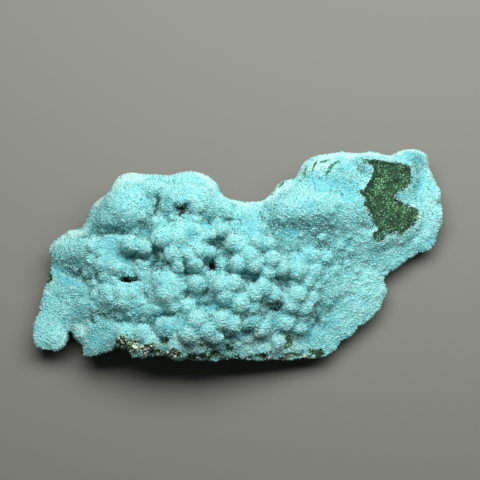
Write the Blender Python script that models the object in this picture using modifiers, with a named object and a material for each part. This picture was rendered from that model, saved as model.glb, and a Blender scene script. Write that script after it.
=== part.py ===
# A hand-sized plate of chrysocolla with malachite, lying on its broken rock side.
# The blue-green crust faces up, +X is the long way to the malachite end, +Z is up.
# All sizes below are millimetres; the scene itself is in metres.

import math

import bmesh
import bpy
from mathutils import Matrix, Vector, noise

MM = 0.001

# Crust: the rounded plate that the swells and knobs stand on.
CRUST_UNDER_Z = 6.0
CRUST_TOP_Z = 14.0
CRUST_EDGE_ROUND = 3.0

# Thicker inner part of the crust.
PLATEAU_UNDER_Z = 7.0
PLATEAU_TOP_Z = 16.3
PLATEAU_EDGE_ROUND = 3.0

# Rock below the crust, drawn in from the edge so that the crust overhangs.
ROCK_TOP_Z = 9.0
ROCK_UNDER_Z = 1.5
ROCK_EDGE_ROUND = 2.0
ROCK_LIMIT_Z = 10.0
ROCK_FADE = 4.0

# Unevenness of the broken rock: reach and size of the lumps, from coarse to fine.
ROCK_LUMPS = ((2.0, 13.0), (1.0, 6.0), (0.4, 2.5))

# Feet that the rock stands on: x, y, radius, and how far they reach below the table plane
# before they are cut flat.
FEET = ((-36, -13, 4.5), (-17, 9, 4), (12, -14, 4.5), (39, 13, 4.5))
FOOT_UNDER_Z = -2.6

# Swells start deep in the plate, knobs stand on short stalks.
SWELL_ROOT_Z = 8.0
SWELL_ROOT_DEPTH = 1.0
SWELL_SPREAD = 1.02
SWELL_FLATNESS = 2.7
STALK_FOOT_Z = 9.0
STALK_FLARE = 1.15
STALK_NECK = 0.9
STALK_SIDES = 16

# The front edge is an undercut lip: height at which the side turns from lip to undercut, half
# the height of that turn, how far the lip comes out and the side below goes in, and the heights
# above and below which nothing moves.
LIP_Z = 10.0
LIP_TURN = 1.5
LIP_REACH = 0.9
UNDERCUT_REACH = 2.5
LIP_LIMITS_Z = ((16.0, 14.0), (4.0, 6.0))

# The stone thins out towards the right-hand front and the left end: direction of each fall in
# degrees, where it starts and ends along that direction, and the share of the height that is
# left at its end.
FALLS = ((-35.0, 4.0, 36.0, 0.38), (190.0, 28.0, 50.0, 0.5))

# Point from which the outlines were drawn. What comes down moves along the line to this point,
# so that it keeps its place in that view.
VIEW_POINT = (0.0, -112.6, 446.7)

# Resolution of the grown surface, and how far it is thinned afterwards.
GRAIN_SIZE = 0.75
CUTTER_GRAIN_SIZE = 0.4
SOFTENING = 0.5
SOFTENING_TURNS = 2
FACE_TARGET = 9000

# The malachite lies bare in a shallow window that slopes down to the back edge.
WINDOW_MIDDLE = (37, 14)
WINDOW_FLOOR_Z = 19.0
WINDOW_DEPTH = 0.9
WINDOW_TILT = -6.0
WINDOW_BORDER = 1.3
WINDOW_ROOT_Z = 9.0
WINDOW_EDGE_ROUND = 1.5
WINDOW_CUT_ROUND = 0.2
WINDOW_CUT_HEIGHT = 8.0

# Outer edge of the crust seen from above, clockwise from the left end of the back lobe, and
# how much wider it is drawn because fusing and softening wear the edge down.
CRUST_EDGE_GROWTH = 0.5
CRUST_OUTLINE = (
    (-31.6, 18.2), (-30.6, 19.8), (-29.6, 20.7), (-27.4, 21.2), (-24.5, 20.7), (-21, 20.6),
    (-18.5, 20.3), (-16, 20.8), (-13, 21.5), (-10, 21), (-7.7, 19.7), (-6, 18), (-5.5, 16),
    (-4, 14.5), (-1, 13.7), (2, 13.3), (4.5, 13.3), (6.5, 14), (8, 15.5), (9.7, 17.6),
    (11, 19), (13, 19.3), (15, 20.5), (16, 23), (17.5, 24.7), (20, 25.7), (23, 26.1),
    (26, 26.6), (28.5, 26.3), (31, 26.2), (33, 26.7), (36, 26), (38, 25.6), (40.5, 26.3),
    (43, 27.3), (45, 27.2), (47, 26), (47, 23.7), (47.9, 21.5), (49, 19), (49.7, 16.5),
    (50.1, 13), (50.5, 10), (49.7, 8), (48.6, 6.4), (47.4, 5.2), (45, 3.5), (42.3, 1.3),
    (39.8, -0.5), (37.2, -2.5), (35.6, -4.5), (35.4, -7), (36, -9), (35.2, -10.4),
    (34.2, -12.6), (33, -14.2), (30.4, -15.6), (27.8, -16.3), (25.3, -17.6), (24.6, -20),
    (23.5, -22.3), (21.5, -24.2), (19.5, -25), (16, -24.9), (13, -25.4), (11, -25.5),
    (8, -25), (5, -25.6), (1.5, -25.1), (-2.5, -24.9), (-6.5, -25.4), (-10, -25),
    (-14, -24.5), (-17, -23.4), (-21, -23.4), (-24, -23.5), (-27, -23.3), (-30.5, -22.8),
    (-33, -23.3), (-35.5, -24), (-37, -24.6), (-38.2, -24.3), (-38, -22.8), (-37.8, -21.6),
    (-38.8, -21), (-40, -19.8), (-40.6, -18.3), (-42, -17.5), (-43, -18.1), (-43.2, -20.4),
    (-43.8, -21.7), (-45, -22.5), (-47, -22.9), (-49, -22.6), (-50.1, -21.9), (-50.6, -19.5),
    (-50.5, -17.5), (-50, -16), (-49, -15), (-48.8, -12.5), (-48.8, -10.5), (-47.9, -8.5),
    (-47.5, -6.5), (-46.9, -4), (-46.2, -2), (-45.8, -0.5), (-47.3, 1.5), (-46, 3.3),
    (-44, 5), (-42, 6.3), (-40.2, 5.9), (-39.2, 6.9), (-38, 8.5), (-37.5, 10.2),
    (-36.9, 12.2), (-36.2, 13.3), (-34, 15), (-32.8, 15.8), (-32, 16.6),
)

# Edge of the thicker inner part, same order.
PLATEAU_OUTLINE = (
    (-33, 9), (-30, 15), (-20, 18), (-10, 17.5), (-6, 11), (4, 9.5), (10, 13), (17, 20),
    (28, 22.5), (40, 22), (46, 15), (46, 7), (36, 1), (31, -5), (25, -11), (17, -18), (8, -20.5),
    (-4, -22), (-14, -21), (-20, -17), (-27, -16.5), (-35, -14.5), (-37, -8), (-41, 0.5),
    (-35, 4),
)

# Edge of the rock underneath, same order.
ROCK_OUTLINE = (
    (-29, 15), (-22, 16.5), (-13, 16), (-9.5, 12.5), (-4, 8.5), (4, 8), (10, 12), (16, 17),
    (22, 21.5), (30, 22), (38, 22), (44.5, 21), (48, 15), (48.2, 9), (43.5, 4), (38, -0.5),
    (34.3, -4), (34.2, -9), (31.5, -13.5), (25, -15.8), (22, -21), (14, -23), (4, -21.5),
    (-8, -22), (-20, -20.5), (-30, -21.5), (-37.5, -20), (-40.8, -15.8), (-44, -16.3), (-45.3, -20.3),
    (-48.3, -19.6), (-47.3, -14), (-46, -8), (-43.5, -1), (-37, 3), (-33, 10),
)

# Bare malachite seen from above: two round bays side by side, like the letter B.
WINDOW_OUTLINE = (
    (30.6, 23), (32.6, 22.9), (34.5, 22.8), (37, 22.5), (39.5, 22.1), (41.2, 21.7), (42.2, 21),
    (42.6, 20), (42.5, 17.9), (42.3, 16.8), (41.5, 15.9), (40.3, 15), (39.2, 13.9), (38, 12.7),
    (39, 12.1), (40.3, 11.4), (41.8, 10.6), (43.2, 10.2), (43.9, 9.2), (43.9, 7.6),
    (43.2, 6.3), (42, 5), (40.8, 3.9), (39.6, 3.1), (37.6, 3.4), (35.9, 3.3), (35.3, 2.1),
    (34.3, 1.4), (33.1, 1.6), (32.5, 2.6), (32.8, 3.5), (33.9, 4), (33.6, 5.2), (33.1, 6),
    (32.4, 6.9), (32.1, 8), (31.6, 9.2), (31.5, 11.3), (30.9, 12.8), (30.2, 13.8), (31, 15.5),
    (32, 17.1), (32.8, 18.5), (33.1, 20), (33.3, 21), (32.5, 21.6), (31.3, 22.1),
)

# Swells of the crust: centre x, y, radius x, y, turn in degrees, height of the top.
BACK_LEFT_SWELLS = (
    (-27.5, 11, 7.5, 6.5, 0, 21), (-13, 12, 8, 6, 0, 21.5), (-32.5, 8, 4, 3, 0, 19),
    (-14.5, 4.5, 8, 3, 8, 20.5), (-22, 15.5, 6, 3, 0, 20.5), (-20, 6.5, 3.5, 3.5, 0, 19),
)
NECK_SWELLS = (
    (0.5, 9.5, 7, 2.5, 0, 16.5), (-4.5, 11, 3.5, 3.5, 0, 18), (3.5, 6, 6.5, 2, 0, 17),
)
SHOULDER_SWELLS = (
    (-39, 0.5, 8, 3, 14, 18), (-32, -3.5, 6.5, 3, 0, 18), (-32, 2, 4, 2, 0, 16.5),
    (-44, 1, 3, 2, 0, 16.5),
)
LEFT_FLANK_SWELLS = (
    (-41.5, -8.5, 6, 4.5, 0, 15), (-44.5, -13, 5, 4, 0, 14.5), (-30, -12, 7.5, 4, 0, 18),
    (-37.5, -14, 3.5, 3, 0, 16.5), (-47.5, -19, 3.2, 3.6, 0, 13), (-45.5, -20.8, 2.8, 2.5, 0, 13.5),
    (-39, -19.7, 1.9, 1.9, 0, 13.5), (-34.5, -18, 6, 3.5, 0, 14.5), (-33, -21.5, 3.5, 2.6, 0, 12.5),
    (-36.4, -22.8, 1.8, 2.2, 0, 11.5),
)
FRONT_SWELLS = (
    (-18, -18.3, 3.5, 3, 0, 16), (-25.5, -20.5, 4, 3, 0, 15), (-20.5, -22.8, 5.5, 2, 0, 13.5),
    (-11, -20.7, 5, 4, 0, 18), (-15, -22.8, 4, 2.3, 0, 15), (-4.5, -18.5, 4.5, 3, 0, 18),
    (-8.5, -22.8, 3.5, 2, 0, 15), (-1, -23.2, 5.5, 2, 0, 12.5), (9, -22.3, 5, 3, 0, 14.5),
    (4.5, -23.6, 3.5, 2, 0, 12), (5.5, -18.7, 3.5, 2.5, 0, 17), (11.5, -17.3, 4, 3, 0, 17.5),
    (15, -19.3, 2.5, 2, 0, 16),
)
MIDDLE_SWELLS = (
    (-18, -10, 5, 6, 0, 20), (-24.5, -3.5, 3, 3, 0, 18), (-22, -14.5, 4, 3, 0, 17.5),
    (-9.5, -4.5, 4.5, 3.5, 0, 16.5), (-13, -1, 4, 2, 0, 19.5), (-8.5, 0, 3, 2, 0, 19.5),
    (-3.5, -10, 4, 5, 0, 19.5), (0.5, -14.5, 5, 3, 0, 18.5), (5.5, -11, 5, 4, 0, 19.5),
    (15, -13, 5.5, 4, 0, 19), (0, 1.5, 6.5, 2.5, 0, 18.5), (1, -3.5, 5, 3, 0, 19),
    (9, -4, 4, 3.5, 0, 19.5), (15, -2.5, 3.5, 2, 0, 18.5), (16.5, -6.5, 5, 3, 0, 19.5),
    (22.5, -5, 3, 2.5, 0, 18.5), (23, -10, 4.5, 3, -30, 18), (19, -1, 3.5, 2, 0, 19),
    (26, -3, 3.5, 3.5, 0, 17), (27, -6.5, 3, 3, 0, 16.5), (-7, -14.5, 3.5, 2, 0, 15),
    (5.5, -1, 2.8, 2.8, 0, 19),
)
RIGHT_SWELLS = (
    (18.5, 9.8, 13, 5.6, 0, 22), (27, 8.5, 5.5, 6.5, 0, 21.5),
    (17, 5, 12, 3.2, 0, 18.6), (17, 2.8, 11, 3, 0, 18), (29.5, 1.5, 5, 4, 0, 19.2),
    (36.5, 12, 8.5, 10, 0, 20.5), (46.3, 10, 3.4, 8.2, 0, 18), (32.5, -0.3, 8.5, 3.8, 0, 17),
    (39.2, 2.5, 5, 3.2, 0, 17),
    (27.5, 2, 5, 3.5, 0, 19), (23.5, 20.5, 8.5, 4, 0, 17.8), (15, 14.5, 4, 2.5, 0, 18),
)
RIM_ROLL_SWELLS = (
    (15.5, -22.5, 4.5, 2.8, 0, 14), (19.7, -21, 4.4, 3.8, 0, 14.8), (24.2, -17, 4.8, 3.8, 0, 15.5),
    (28, -13.7, 4.8, 3.8, 0, 16.3), (31.2, -10, 4, 3.8, 0, 16.5), (31, -6.3, 4, 3, 0, 16.5),
)

# Knobs large enough to belong to the solid: x, y, radius, height of the top.
KNOBS = (
    (-45.6, -20.6, 2.9, 14.3), (-39, -19.6, 1.9, 14), (-27, 1, 2.25, 20.5), (-23.5, 0, 1.75, 20.5),
    (-13, -2, 1.75, 20.5), (-10, -1, 1.75, 20.5), (-16.5, -1.5, 2, 20.5), (-7.5, -1, 1.5, 20),
    (-11, -4, 1.75, 20), (-15, -4, 1.75, 19.5), (-15.5, 2.5, 2.75, 21.5), (-19.5, 2.5, 2.25, 21),
    (-13, -14, 1.75, 17.5), (-10.5, -9, 2, 19.5), (-18, -18.5, 3.25, 16.5), (-28, -21, 2.25, 15.5),
    (-24, -20.5, 2.25, 16), (-22, -22.5, 2, 15.5), (-25, -23.5, 2, 14.5), (-10.5, -18, 2.5, 19.5),
    (-12.5, -21, 2.5, 18.5), (-8, -20.5, 2.25, 19), (-4.5, -18, 2.25, 19.5), (-2, -19, 2.25, 19),
    (-6, -21.5, 2, 18), (-15, -23.5, 2.25, 15.5), (-10, -23.5, 2.25, 15.5), (-4.5, -9.5, 2.25, 21),
    (-1.5, -9, 2, 20.5), (-3.5, -12, 2.25, 20), (0, -13.5, 2.5, 19.5), (3, -14.5, 1.75, 19),
    (-0.5, -4, 2, 20.5), (2.5, -2.5, 2, 21), (3.5, -4.5, 1.75, 20.5), (7, 1, 1.75, 20.5),
    (4.5, 1.5, 1.75, 20.5), (-1.5, 1.5, 2, 20), (0.5, 0, 1.75, 20), (8, -3, 2, 21),
    (10, -5, 2, 20.5), (7, -6, 1.75, 20), (14, -5.5, 2.3, 20), (18, -5.5, 2.3, 19.8),
    (16, -8, 2.2, 19.5), (19, -8, 2, 19), (22.5, -5, 2.4, 18.8), (17.5, -1.5, 2, 19.2),
    (21, -2, 1.8, 18.9), (5.5, -10, 2.25, 20.5), (3.5, -11.5, 2, 20), (8, -11.5, 2, 20),
    (14, -11.5, 2.25, 20.5), (15.5, -14.5, 2.25, 20), (12.5, -14, 2, 19.5), (17.5, -12, 2, 19.5),
    (22.5, -9.5, 2.1, 18.4), (25, -8.5, 2.2, 17.8), (21.5, -12, 2, 18), (25, -11.5, 1.8, 17.3),
    (5, -19.5, 2.25, 17.5), (3, -17.5, 2, 18), (11, -18, 2.25, 18), (14.5, -19, 2, 17.5),
    (15, -16.5, 1.75, 18), (5.5, -23.5, 2, 14.5), (9, -22, 2.25, 15.5), (11.5, -23.5, 1.75, 14.5),
    (48, 15, 2.25, 17.5), (48.3, 9.8, 2.25, 17.3), (46, 5.6, 2.25, 17), (43.2, 3.2, 2, 16.5),
    (30.5, 4.5, 1.6, 20.6), (28.5, 2.5, 1.5, 20.2),
)
LUMP = (42.6, 24.7, 4.6, 2.5, 4, 17)

# Narrow crest that runs slantwise between the back lobe and the middle knobs.
CREST_POINTS = ((-12, 0.5), (-8, 3), (-4, 5))
CREST_RADIUS = 1.4
CREST_TOP_Z = 20.5

# Crest and grooves are rows of shapes; this is how many steps each stretch of the run takes.
RUN_STEPS = 6

# Hollows between the knobs: x, y, radius x, y, turn in degrees, height of the floor. The plugs
# that sink them are tall eggs, a little wider than the hollow.
HOLLOW_PLUG_REACH = 9.0
HOLLOW_PLUG_GROWTH = 1.15
HOLLOWS = (
    (-14.5, 10, 2.25, 1.5, 0, 18.7), (-28, -6.5, 2.75, 1, 0, 14), (-21.5, -1, 1.25, 4, 0, 15.5),
    (-6.5, -2.5, 1.75, 1.25, 0, 14), (-2.5, -5, 1.25, 1, 0, 16), (3.5, -7, 1.25, 1.5, -30, 15),
    (9, -13.5, 1.5, 1.25, 0, 15), (-8.5, -10, 1.5, 1.5, 0, 14.5), (-14, -10.5, 1, 1.5, 0, 16),
    (-19, -21.5, 1.5, 1, 0, 11), (-36.5, -15.5, 1, 1, 0, 12), (1, -19.5, 1.5, 1, 0, 14),
    (18.5, -17, 1.5, 1.75, 0, 12), (-13.5, -5, 1, 1.5, 0, 15.5), (-8, 1.5, 2, 1, 0, 17),
    (19, 0.5, 1.5, 1, 0, 17),
)

# Grooves: points x, y of the run, half width, height of the floor.
GROOVES = (
    (((-18.5, 13), (-20, 10.5), (-21.5, 8)), 1.3, 18.5),
    (((19, -18.5), (22.5, -14), (26.5, -10), (30.5, -5)), 1.2, 13.5),
    (((-14, -20.5), (-13, -17), (-9.5, -14)), 1.0, 14.5),
)


def clear_scene():
    """Remove whatever the scene starts with."""
    for item in list(bpy.data.objects):
        bpy.data.objects.remove(item, do_unlink=True)


def collection(name):
    """A new collection in the scene."""
    group = bpy.data.collections.new(name)
    bpy.context.scene.collection.children.link(group)
    return group


def object_from(bm, name, group):
    """Turn a bmesh into a named object."""
    mesh = bpy.data.meshes.new(name)
    bm.to_mesh(mesh)
    bm.free()
    item = bpy.data.objects.new(name, mesh)
    group.objects.link(item)
    return item


def evaluated_mesh(item):
    """The item's mesh with its curve or modifier result applied."""
    graph = bpy.context.evaluated_depsgraph_get()
    return bpy.data.meshes.new_from_object(item.evaluated_get(graph))


def plate(bm, outline, under_z, top_z, edge_round, grow=0.0, tilt=None):
    """Add a closed plate with rounded edges, drawn as a smooth curve through the outline."""
    curve = bpy.data.curves.new("outline", "CURVE")
    curve.dimensions = "2D"
    curve.fill_mode = "BOTH"
    curve.extrude = (0.5 * (top_z - under_z) - edge_round) * MM
    curve.bevel_depth = edge_round * MM
    curve.bevel_resolution = 3
    curve.offset = (grow - edge_round) * MM
    curve.resolution_u = 3
    spline = curve.splines.new("BEZIER")
    spline.bezier_points.add(len(outline) - 1)
    for point, (x, y) in zip(spline.bezier_points, outline):
        point.co = (x * MM, y * MM, 0)
        point.handle_left_type = "AUTO"
        point.handle_right_type = "AUTO"
    spline.use_cyclic_u = True
    item = bpy.data.objects.new("outline", curve)
    bpy.context.scene.collection.objects.link(item)
    mesh = evaluated_mesh(item)
    mesh.transform(Matrix.Translation((0, 0, 0.5 * (top_z + under_z) * MM)))
    if tilt is not None:
        mesh.transform(tilt)
    bm.from_mesh(mesh)
    bpy.data.objects.remove(item, do_unlink=True)


def window_tilt():
    """Turn that makes the window fall away to the back, about its own middle."""
    middle = Vector((*WINDOW_MIDDLE, WINDOW_FLOOR_Z)) * MM
    turn = Matrix.Rotation(math.radians(WINDOW_TILT), 4, "X")
    return Matrix.Translation(middle) @ turn @ Matrix.Translation(-middle)


def ball(bm, centre, radii, turn=0.0, subdivisions=3):
    """Add an ellipsoid, turned about the vertical."""
    place = (
        Matrix.Translation(Vector(centre) * MM)
        @ Matrix.Rotation(math.radians(turn), 4, "Z")
        @ Matrix.Diagonal(Vector(radii) * MM).to_4x4()
    )
    bmesh.ops.create_icosphere(bm, subdivisions=subdivisions, radius=1.0, matrix=place)


def swell(bm, x, y, rx, ry, turn, top_z):
    """Add a broad, flat-topped swelling of the crust, cut short where it sits in the plate."""
    place = Matrix.Translation(Vector((x, y, SWELL_ROOT_Z)) * MM)
    place = place @ Matrix.Rotation(math.radians(turn), 4, "Z")
    for vert in bmesh.ops.create_icosphere(bm, subdivisions=4, radius=1.0)["verts"]:
        around = math.hypot(vert.co.x, vert.co.y)
        bulge = (around**SWELL_FLATNESS + abs(vert.co.z) ** SWELL_FLATNESS) ** (1 / SWELL_FLATNESS)
        point = vert.co / bulge
        height = top_z - SWELL_ROOT_Z if point.z > 0 else SWELL_ROOT_DEPTH
        stretched = Vector((point.x * rx * SWELL_SPREAD, point.y * ry * SWELL_SPREAD, point.z * height))
        vert.co = place @ (stretched * MM)


def knob(bm, x, y, radius, top_z):
    """Add a round knob and the stalk that ties it to the plate."""
    middle_z = top_z - radius
    ball(bm, (x, y, middle_z), (radius, radius, radius))
    height = middle_z - STALK_FOOT_Z
    place = Matrix.Translation(Vector((x, y, STALK_FOOT_Z + 0.5 * height)) * MM)
    bmesh.ops.create_cone(
        bm, cap_ends=True, segments=STALK_SIDES, radius1=radius * STALK_FLARE * MM,
        radius2=radius * STALK_NECK * MM, depth=height * MM, matrix=place,
    )


def along_run(points):
    """Places spread evenly over each stretch of a run of points."""
    for start, end in zip(points, points[1:]):
        for step in range(RUN_STEPS + 1):
            part = step / RUN_STEPS
            yield start[0] + (end[0] - start[0]) * part, start[1] + (end[1] - start[1]) * part


def crest(bm):
    """Add the narrow crest as a row of overlapping swells."""
    for x, y in along_run(CREST_POINTS):
        swell(bm, x, y, CREST_RADIUS, CREST_RADIUS, 0, CREST_TOP_Z)


def crust_and_rock(group):
    """Plate, rock, swells and knobs as one heap of closed shapes."""
    bm = bmesh.new()
    plate(bm, CRUST_OUTLINE, CRUST_UNDER_Z, CRUST_TOP_Z, CRUST_EDGE_ROUND, CRUST_EDGE_GROWTH)
    plate(bm, PLATEAU_OUTLINE, PLATEAU_UNDER_Z, PLATEAU_TOP_Z, PLATEAU_EDGE_ROUND)
    plate(bm, ROCK_OUTLINE, ROCK_UNDER_Z, ROCK_TOP_Z, ROCK_EDGE_ROUND)
    plate(
        bm, WINDOW_OUTLINE, WINDOW_ROOT_Z, WINDOW_FLOOR_Z + WINDOW_DEPTH, WINDOW_EDGE_ROUND,
        WINDOW_BORDER, window_tilt(),
    )
    for x, y, radius in FEET:
        ball(bm, (x, y, CRUST_UNDER_Z), (radius, radius, CRUST_UNDER_Z - FOOT_UNDER_Z))
    for row in (
        BACK_LEFT_SWELLS + NECK_SWELLS + SHOULDER_SWELLS + LEFT_FLANK_SWELLS
        + FRONT_SWELLS + MIDDLE_SWELLS + RIGHT_SWELLS + RIM_ROLL_SWELLS + (LUMP,)
    ):
        swell(bm, *row)
    for row in KNOBS:
        knob(bm, *row)
    crest(bm)
    bmesh.ops.remove_doubles(bm, verts=bm.verts, dist=0.0001 * MM)
    return object_from(bm, "chrysocolla_malachite_specimen", group)


def hollow_cutter(group):
    """Tall rounded plugs that sink the hollows and grooves."""
    bm = bmesh.new()
    reach = HOLLOW_PLUG_REACH
    for x, y, rx, ry, turn, floor_z in HOLLOWS:
        radii = (rx * HOLLOW_PLUG_GROWTH, ry * HOLLOW_PLUG_GROWTH, reach)
        ball(bm, (x, y, floor_z + reach), radii, turn)
    for points, half_width, floor_z in GROOVES:
        for x, y in along_run(points):
            ball(bm, (x, y, floor_z + reach), (half_width, half_width, reach))
    cutter = cutter_object(bm, "hollow_cutter", group)
    grow_together(cutter, CUTTER_GRAIN_SIZE)
    return cutter


def cutter_object(bm, name, group):
    """A cutter that is never drawn."""
    item = object_from(bm, name, group)
    item.hide_render = True
    item.display_type = "WIRE"
    return item


def window_cutter(group):
    """Plug with the outline of the bare malachite."""
    bm = bmesh.new()
    plate(
        bm, WINDOW_OUTLINE, WINDOW_FLOOR_Z, WINDOW_FLOOR_Z + WINDOW_CUT_HEIGHT, WINDOW_CUT_ROUND,
        tilt=window_tilt(),
    )
    bmesh.ops.remove_doubles(bm, verts=bm.verts, dist=0.0001 * MM)
    return cutter_object(bm, "window_cutter", group)


def table_cutter(group):
    """Block whose top is the resting plane."""
    bm = bmesh.new()
    place = Matrix.Translation((0, 0, -10 * MM)) @ Matrix.Diagonal((140 * MM, 90 * MM, 20 * MM, 1))
    bmesh.ops.create_cube(bm, size=1.0, matrix=place)
    return cutter_object(bm, "table_cutter", group)


def apply_modifiers(item):
    """Bake the modifiers of the item into its mesh."""
    mesh = evaluated_mesh(item)
    item.modifiers.clear()
    item.data = mesh


def grow_together(item, size):
    """Fuse everything into one skin of even facets."""
    fuse = item.modifiers.new("fuse", "REMESH")
    fuse.mode = "VOXEL"
    fuse.voxel_size = size * MM
    apply_modifiers(item)


def cut(item, cutter):
    """Take the cutter's shape out of the item."""
    step = item.modifiers.new("cut", "BOOLEAN")
    step.operation = "DIFFERENCE"
    step.solver = "EXACT"
    step.object = cutter
    apply_modifiers(item)


def soften(item, factor, turns):
    """Even out the steps of the skin."""
    step = item.modifiers.new("soften", "SMOOTH")
    step.factor = factor
    step.iterations = turns
    apply_modifiers(item)


def roughen_rock(item):
    """Break up the flat rock side and underside; the crust above stays as it is."""
    bm = bmesh.new()
    bm.from_mesh(item.data)
    bm.normal_update()
    moves = []
    for vert in bm.verts:
        share = min(1.0, max(0.0, (ROCK_LIMIT_Z - vert.co.z / MM) / ROCK_FADE))
        push = sum(reach * noise.noise(vert.co / (size * MM)) for reach, size in ROCK_LUMPS)
        moves.append(vert.normal * (push * share * MM))
    for vert, move in zip(bm.verts, moves):
        vert.co += move
    bm.to_mesh(item.data)
    bm.free()


def ramp(value, low, high):
    """0 at low, 1 at high, smooth between; low may be the larger one."""
    part = min(1.0, max(0.0, (value - low) / (high - low)))
    return part * part * (3.0 - 2.0 * part)


def undercut_front(item):
    """Draw the lip of the crust out and the side below it in, where they face the front."""
    bm = bmesh.new()
    bm.from_mesh(item.data)
    bm.normal_update()
    moves = []
    for vert in bm.verts:
        z = vert.co.z / MM
        under = ramp(z, LIP_Z + LIP_TURN, LIP_Z - LIP_TURN)
        push = LIP_REACH * (1.0 - under) - UNDERCUT_REACH * under
        for nothing, all_of_it in LIP_LIMITS_Z:
            push *= ramp(z, nothing, all_of_it)
        facing = max(0.0, -vert.normal.y)
        moves.append(Vector((vert.normal.x, vert.normal.y, 0)) * (facing * push * MM))
    for vert, move in zip(bm.verts, moves):
        vert.co += move
    bm.to_mesh(item.data)
    bm.free()


def height_left(x, y):
    """Share of the height that is left at this place on the plan."""
    height = 1.0
    for direction, start, end, left in FALLS:
        angle = math.radians(direction)
        along = x * math.cos(angle) + y * math.sin(angle)
        height *= 1.0 - (1.0 - left) * ramp(along, start, end)
    return height


def lower_ends(item):
    """Let the right-hand front and the left end fall away towards the table."""
    eye = Vector(VIEW_POINT) * MM
    for vert in item.data.vertices:
        lowered = vert.co.z * height_left(vert.co.x / MM, vert.co.y / MM)
        vert.co = eye + (vert.co - eye) * ((eye.z - lowered) / (eye.z - vert.co.z))


def thin_out(item, faces):
    """Reduce the skin to the wanted number of triangles."""
    bm = bmesh.new()
    bm.from_mesh(item.data)
    bmesh.ops.triangulate(bm, faces=bm.faces)
    count = len(bm.faces)
    bm.to_mesh(item.data)
    bm.free()
    step = item.modifiers.new("thin", "DECIMATE")
    step.ratio = faces / count
    step.use_collapse_triangulate = True
    apply_modifiers(item)


def finish_mesh(item):
    """Merge stray doubles, point the faces outward and centre the piece on its box."""
    bm = bmesh.new()
    bm.from_mesh(item.data)
    bmesh.ops.remove_doubles(bm, verts=bm.verts, dist=0.01 * MM)
    bmesh.ops.dissolve_degenerate(bm, edges=bm.edges, dist=0.01 * MM)
    bmesh.ops.triangulate(bm, faces=bm.faces)
    bmesh.ops.recalc_face_normals(bm, faces=bm.faces)
    xs = [vert.co.x for vert in bm.verts]
    ys = [vert.co.y for vert in bm.verts]
    zs = [vert.co.z for vert in bm.verts]
    middle = Vector((0.5 * (min(xs) + max(xs)), 0.5 * (min(ys) + max(ys)), min(zs)))
    for vert in bm.verts:
        vert.co -= middle
    bm.to_mesh(item.data)
    bm.free()
    for face in item.data.polygons:
        face.use_smooth = True


def crust_material():
    """Plain blue-green for the whole stone."""
    material = bpy.data.materials.new("chrysocolla_crust")
    material.use_nodes = True
    shader = material.node_tree.nodes["Principled BSDF"]
    shader.inputs["Base Color"].default_value = (0.20, 0.50, 0.50, 1)
    shader.inputs["Roughness"].default_value = 0.55
    return material


def build():
    """Make the specimen."""
    clear_scene()
    specimen_group = collection("chrysocolla_with_malachite")
    cutters = collection("cutters")
    specimen = crust_and_rock(specimen_group)
    grow_together(specimen, GRAIN_SIZE)
    cut(specimen, hollow_cutter(cutters))
    grow_together(specimen, GRAIN_SIZE)
    soften(specimen, SOFTENING, SOFTENING_TURNS)
    roughen_rock(specimen)
    undercut_front(specimen)
    cut(specimen, window_cutter(cutters))
    thin_out(specimen, FACE_TARGET)
    lower_ends(specimen)
    cut(specimen, table_cutter(cutters))
    finish_mesh(specimen)
    specimen.data.name = specimen.name
    specimen.data.materials.clear()
    specimen.data.materials.append(crust_material())


build()
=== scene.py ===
"""Chrysocolla with malachite: the look of one mineral specimen.

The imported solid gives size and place. Here its crust gets small round knobs, a skin of quartz
points, a velvety patch of bare malachite and a broken rock side.
"""

import math

import itertools

import bpy
import numpy as np
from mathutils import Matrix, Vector, kdtree, noise


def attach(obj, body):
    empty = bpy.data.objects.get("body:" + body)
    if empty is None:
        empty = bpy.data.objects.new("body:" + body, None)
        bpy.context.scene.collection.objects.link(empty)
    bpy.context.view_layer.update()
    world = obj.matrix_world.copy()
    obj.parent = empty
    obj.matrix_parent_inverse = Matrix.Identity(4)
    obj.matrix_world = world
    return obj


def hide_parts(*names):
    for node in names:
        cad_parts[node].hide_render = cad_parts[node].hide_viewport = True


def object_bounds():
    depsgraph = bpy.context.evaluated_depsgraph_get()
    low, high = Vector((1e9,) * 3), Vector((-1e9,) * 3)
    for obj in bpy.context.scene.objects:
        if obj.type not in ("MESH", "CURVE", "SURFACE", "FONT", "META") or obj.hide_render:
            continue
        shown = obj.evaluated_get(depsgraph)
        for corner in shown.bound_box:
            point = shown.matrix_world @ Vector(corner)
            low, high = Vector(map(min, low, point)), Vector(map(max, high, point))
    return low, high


bl_info = {
    "name": "Chrysocolla Specimen",
    "version": (1, 0, 0),
    "blender": (4, 5, 0),
    "location": "3D View > Sidebar > Specimen",
    "description": "Crust, druse, malachite and stage of a chrysocolla specimen",
    "category": "Object",
}

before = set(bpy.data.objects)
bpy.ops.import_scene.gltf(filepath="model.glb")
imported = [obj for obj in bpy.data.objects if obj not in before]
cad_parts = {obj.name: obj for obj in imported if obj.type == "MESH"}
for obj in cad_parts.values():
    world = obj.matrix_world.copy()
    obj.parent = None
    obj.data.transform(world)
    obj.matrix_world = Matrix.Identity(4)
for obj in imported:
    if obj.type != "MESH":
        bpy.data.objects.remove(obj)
CAD_BOX = [list(corner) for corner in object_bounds()]

MM = 0.001
NODE = "chrysocolla_malachite_specimen"
CRUST = "chrysocolla_crust"

# The solid is drawn on a plan at full height and then centred on its box. All places below are
# millimetres on that plan, seen from above, and this is how far the centring moved them.
PLAN_SHIFT = np.array((0.0, -1.21, 0.0))

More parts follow.
